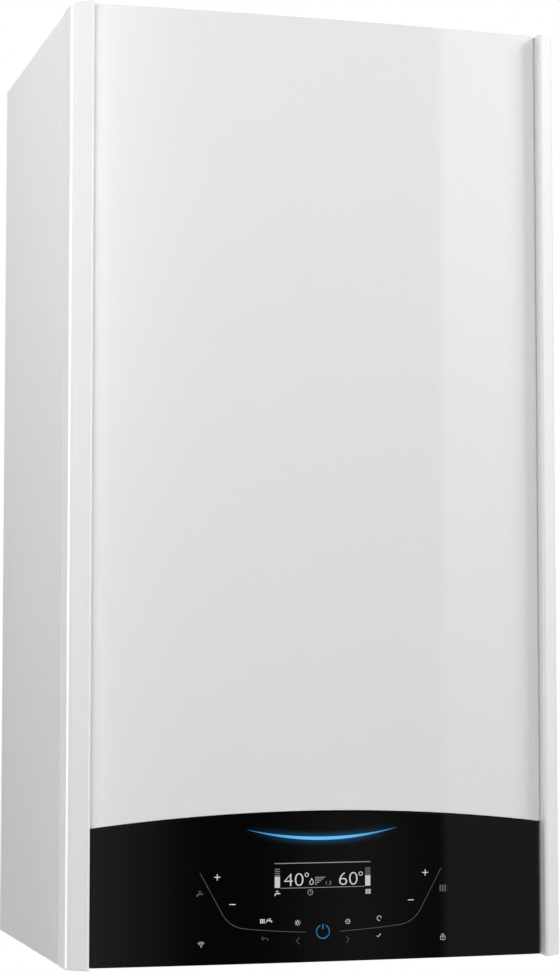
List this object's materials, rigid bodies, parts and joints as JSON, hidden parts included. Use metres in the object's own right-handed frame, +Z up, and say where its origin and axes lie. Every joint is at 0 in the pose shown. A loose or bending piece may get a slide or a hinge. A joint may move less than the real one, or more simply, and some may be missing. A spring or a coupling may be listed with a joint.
{
  "type": "wall-hung gas boiler",
  "caption": "Tall white wall-hung condensing gas boiler with side trim rails, a bowed front panel, an arched black touch fascia, and burner, pump and water parts inside.",
  "frame": {"origin": "on the wall plane, midway between the two hanging holes of the back frame", "axes": "+Z up; +Y into the wall; +X to the right seen from the room; the front faces -Y"},
  "size_m": [0.4, 0.319, 0.793],
  "materials": {
    "white_enamel": "satin white enamel on steel sheet",
    "white_plastic": "smooth white moulded plastic",
    "black_acrylic": "polished black acrylic",
    "zinc_steel": "galvanised steel sheet",
    "stainless": "satin stainless steel",
    "aluminium": "cast aluminium",
    "copper": "bright drawn copper",
    "brass": "machined brass",
    "black_plastic": "fine-grained black plastic",
    "grey_plastic": "glass-filled grey plastic",
    "pale_plastic": "translucent pale plastic",
    "rubber": "matt black rubber",
    "red_enamel": "red enamel on pressed steel",
    "red_plastic": "red moulded plastic",
    "blue_plastic": "blue moulded plastic",
    "board_green": "green solder-masked board",
    "display_glass": "dark display window",
    "light_guide": "clear acrylic light guide",
    "ceramic": "white ceramic"
  },
  "bodies": {
    "chassis": {"back_frame": "zinc_steel", "side_panel_left": "white_enamel", "side_panel_right": "white_enamel", "top_plate": "zinc_steel", "bottom_plate": "zinc_steel", "chamber_floor": "zinc_steel", "floor_grommets": "rubber", "chamber_gasket": "rubber", "chamber_cover": "zinc_steel", "cover_clips": "stainless", "casing_pegs": "stainless", "hinge_brackets": "zinc_steel", "hinge_pins": "stainless", "flue_collar": "pale_plastic", "flue_duct": "pale_plastic", "exchanger_shell": "aluminium", "exchanger_coil": "aluminium", "burner_door": "aluminium", "door_insulation": "ceramic", "burner_tube": "stainless", "door_nuts": "stainless", "spark_electrode": "ceramic", "fan_housing": "aluminium", "fan_motor": "black_plastic", "air_gas_mixer": "aluminium", "gas_valve": "aluminium", "gas_feed_pipe": "aluminium", "gas_inlet_pipe": "brass", "connection_tails": "brass", "expansion_vessel": "red_enamel", "vessel_pipe": "copper", "flow_block": "grey_plastic", "return_block": "grey_plastic", "plate_exchanger": "stainless", "pump_housing": "grey_plastic", "pump_motor": "black_plastic", "air_vent": "black_plastic", "diverter_motor": "black_plastic", "flow_pipe": "copper", "return_pipe": "copper", "condensate_trap": "pale_plastic", "condensate_hose": "rubber", "relief_valve": "brass", "cable_gland": "black_plastic"},
    "casing": {"front_panel": "white_enamel", "trim_rail_left": "white_plastic", "trim_rail_right": "white_plastic", "casing_screws": "stainless"},
    "control_panel": {"fascia": "black_acrylic", "control_box": "black_plastic", "control_box_cover": "black_plastic", "touch_board": "board_green", "main_board": "board_green", "display_module": "display_glass", "light_guide": "light_guide"},
    "fan_rotor": {"fan_impeller": "aluminium"},
    "pump_wheel": {"pump_rotor": "stainless"},
    "diverter_plug": {"diverter_spindle": "brass"},
    "relief_handle": {"relief_knob": "red_plastic"},
    "filling_handle": {"filling_knob": "blue_plastic"}
  },
  "joints": [
    {"name": "casing_slide", "type": "slide", "parent": "chassis", "child": "casing", "axis": [0, -1, 0], "range_m": [0, 0.45]},
    {"name": "control_panel_tilt", "type": "hinge", "parent": "chassis", "child": "control_panel", "pos_m": [0, -0.288, -0.686], "axis": [1, 0, 0], "range_deg": [0, 90]},
    {"name": "fan_spin", "type": "hinge", "parent": "chassis", "child": "fan_rotor", "pos_m": [0.122, -0.231, -0.06], "axis": [0, -1, 0], "continuous": true},
    {"name": "pump_spin", "type": "hinge", "parent": "chassis", "child": "pump_wheel", "pos_m": [0.128, -0.122, -0.505], "axis": [0, -1, 0], "continuous": true},
    {"name": "diverter_stroke", "type": "slide", "parent": "chassis", "child": "diverter_plug", "axis": [0, 0, 1], "range_m": [0, 0.007]},
    {"name": "relief_knob_turn", "type": "hinge", "parent": "chassis", "child": "relief_handle", "pos_m": [0.15, -0.19, -0.625], "axis": [0, -1, 0], "range_deg": [0, 80]},
    {"name": "filling_knob_turn", "type": "hinge", "parent": "chassis", "child": "filling_handle", "pos_m": [0.095, -0.172, -0.7075], "axis": [0, 0, 1], "range_deg": [0, 360]}
  ]
}
